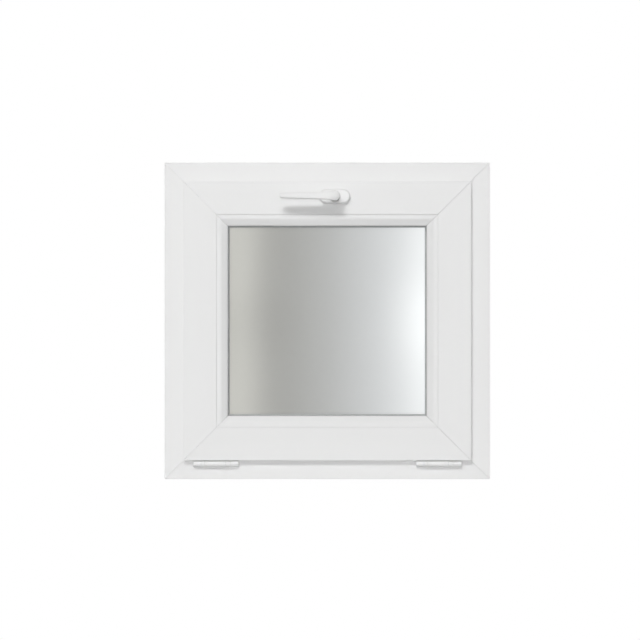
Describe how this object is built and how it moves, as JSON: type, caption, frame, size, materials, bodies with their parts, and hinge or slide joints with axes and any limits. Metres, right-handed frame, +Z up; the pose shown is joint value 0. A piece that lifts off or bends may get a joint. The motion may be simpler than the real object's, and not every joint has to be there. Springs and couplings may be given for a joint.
{
  "type": "bottom-hung tilt window",
  "caption": "Small white plastic window with a satin double-glazed sash hinged along the bottom, tilting into the room from a lever handle on its top rail.",
  "frame": {"origin": "middle of the frame's underside, half way through its 70 mm depth", "axes": "+X to the right seen from the room, along the width; +Y out of the building, through the depth; +Z up"},
  "size_m": [0.6, 0.1387, 0.584],
  "materials": {
    "pvc_white": "white extruded PVC-U, satin gloss, welded corners",
    "galvanised_steel": "roll-formed galvanised strip, dull grey with faint spangle",
    "gasket_grey": "mid-grey extruded rubber, matt",
    "glass_clear": "clear float glass",
    "glass_satin": "obscured pane with a smooth satin look",
    "spacer_aluminium": "mill-finish folded spacer bar",
    "sealant_black": "black edge sealant",
    "block_plastic": "blue moulded setting block",
    "hinge_enamel": "white powder coat on steel",
    "cap_white": "white moulded plastic, satin gloss",
    "handle_enamel": "white powder coat on cast alloy, smooth satin gloss",
    "zinc_plate": "bright zinc-plated pressed steel"
  },
  "bodies": {
    "frame": {"frame_head": "pvc_white", "frame_jamb_left": "pvc_white", "frame_jamb_right": "pvc_white", "frame_sill": "pvc_white", "frame_steel_bottom": "galvanised_steel", "frame_steel_left": "galvanised_steel", "frame_steel_right": "galvanised_steel", "frame_steel_top": "galvanised_steel", "frame_stop_gasket": "gasket_grey", "left_drain_cap": "cap_white", "left_hinge_frame_leaf": "hinge_enamel", "left_hinge_left_cap": "cap_white", "left_hinge_pin": "zinc_plate", "left_hinge_right_cap": "cap_white", "left_keep": "zinc_plate", "left_stay_bracket": "zinc_plate", "right_drain_cap": "cap_white", "right_hinge_frame_leaf": "hinge_enamel", "right_hinge_left_cap": "cap_white", "right_hinge_pin": "zinc_plate", "right_hinge_right_cap": "cap_white", "right_keep": "zinc_plate", "right_stay_bracket": "zinc_plate"},
    "sash": {"sash_rail_top": "pvc_white", "sash_rail_bottom": "pvc_white", "sash_stile_left": "pvc_white", "sash_stile_right": "pvc_white", "sash_steel_bottom": "galvanised_steel", "sash_steel_left": "galvanised_steel", "sash_steel_top": "galvanised_steel", "sash_steel_right": "galvanised_steel", "glazing_bead_bottom": "pvc_white", "glazing_bead_left": "pvc_white", "glazing_bead_top": "pvc_white", "glazing_bead_right": "pvc_white", "sash_overlap_gasket": "gasket_grey", "glazing_gasket_outer": "gasket_grey", "glazing_gasket_inner": "gasket_grey", "glass_pane_outer": "glass_clear", "glass_pane_inner": "glass_satin", "glass_spacer_bar": "spacer_aluminium", "glass_edge_seal": "sealant_black", "setting_block_left": "block_plastic", "setting_block_right": "block_plastic", "left_hinge_sash_leaf": "hinge_enamel", "right_hinge_sash_leaf": "hinge_enamel", "handle_rosette_base": "cap_white", "handle_rosette_cap": "cap_white", "handle_screw_left": "zinc_plate", "handle_screw_right": "zinc_plate", "gearbox_housing": "zinc_plate", "drive_faceplate": "zinc_plate", "left_stay_track": "zinc_plate", "right_stay_track": "zinc_plate"},
    "handle": {"handle_lever": "handle_enamel", "handle_spindle": "zinc_plate", "drive_gear": "zinc_plate"},
    "drive_rod": {"drive_rod": "zinc_plate"},
    "left_stay_arm": {"left_stay_arm": "zinc_plate"},
    "right_stay_arm": {"right_stay_arm": "zinc_plate"}
  },
  "joints": [
    {"name": "sash_tilt", "type": "hinge", "parent": "frame", "child": "sash", "pos_m": [0, -0.0413, 0.0286], "axis": [1, 0, 0], "range_deg": [0, 17]},
    {"name": "handle_turn", "type": "hinge", "parent": "sash", "child": "handle", "pos_m": [0.0136, -0.059, 0.521], "axis": [0, -1, 0], "range_deg": [0, 90]},
    {"name": "drive_rod_slide", "type": "slide", "parent": "sash", "child": "drive_rod", "axis": [-1, 0, 0], "range_m": [0, 0.0114]},
    {"name": "left_stay_turn", "type": "hinge", "parent": "frame", "child": "left_stay_arm", "pos_m": [-0.25125, -0.0255, 0.17], "axis": [1, 0, 0], "range_deg": [0, 29.5]},
    {"name": "right_stay_turn", "type": "hinge", "parent": "frame", "child": "right_stay_arm", "pos_m": [0.25125, -0.0255, 0.17], "axis": [1, 0, 0], "range_deg": [0, 29.5]}
  ],
  "couplings": [
    {"joint": "drive_rod_slide", "follows": "handle_turn", "m_per_rad": 0.0072},
    {"joint": "left_stay_turn", "follows": "sash_tilt", "ratio": 1.73},
    {"joint": "right_stay_turn", "follows": "sash_tilt", "ratio": 1.73}
  ]
}
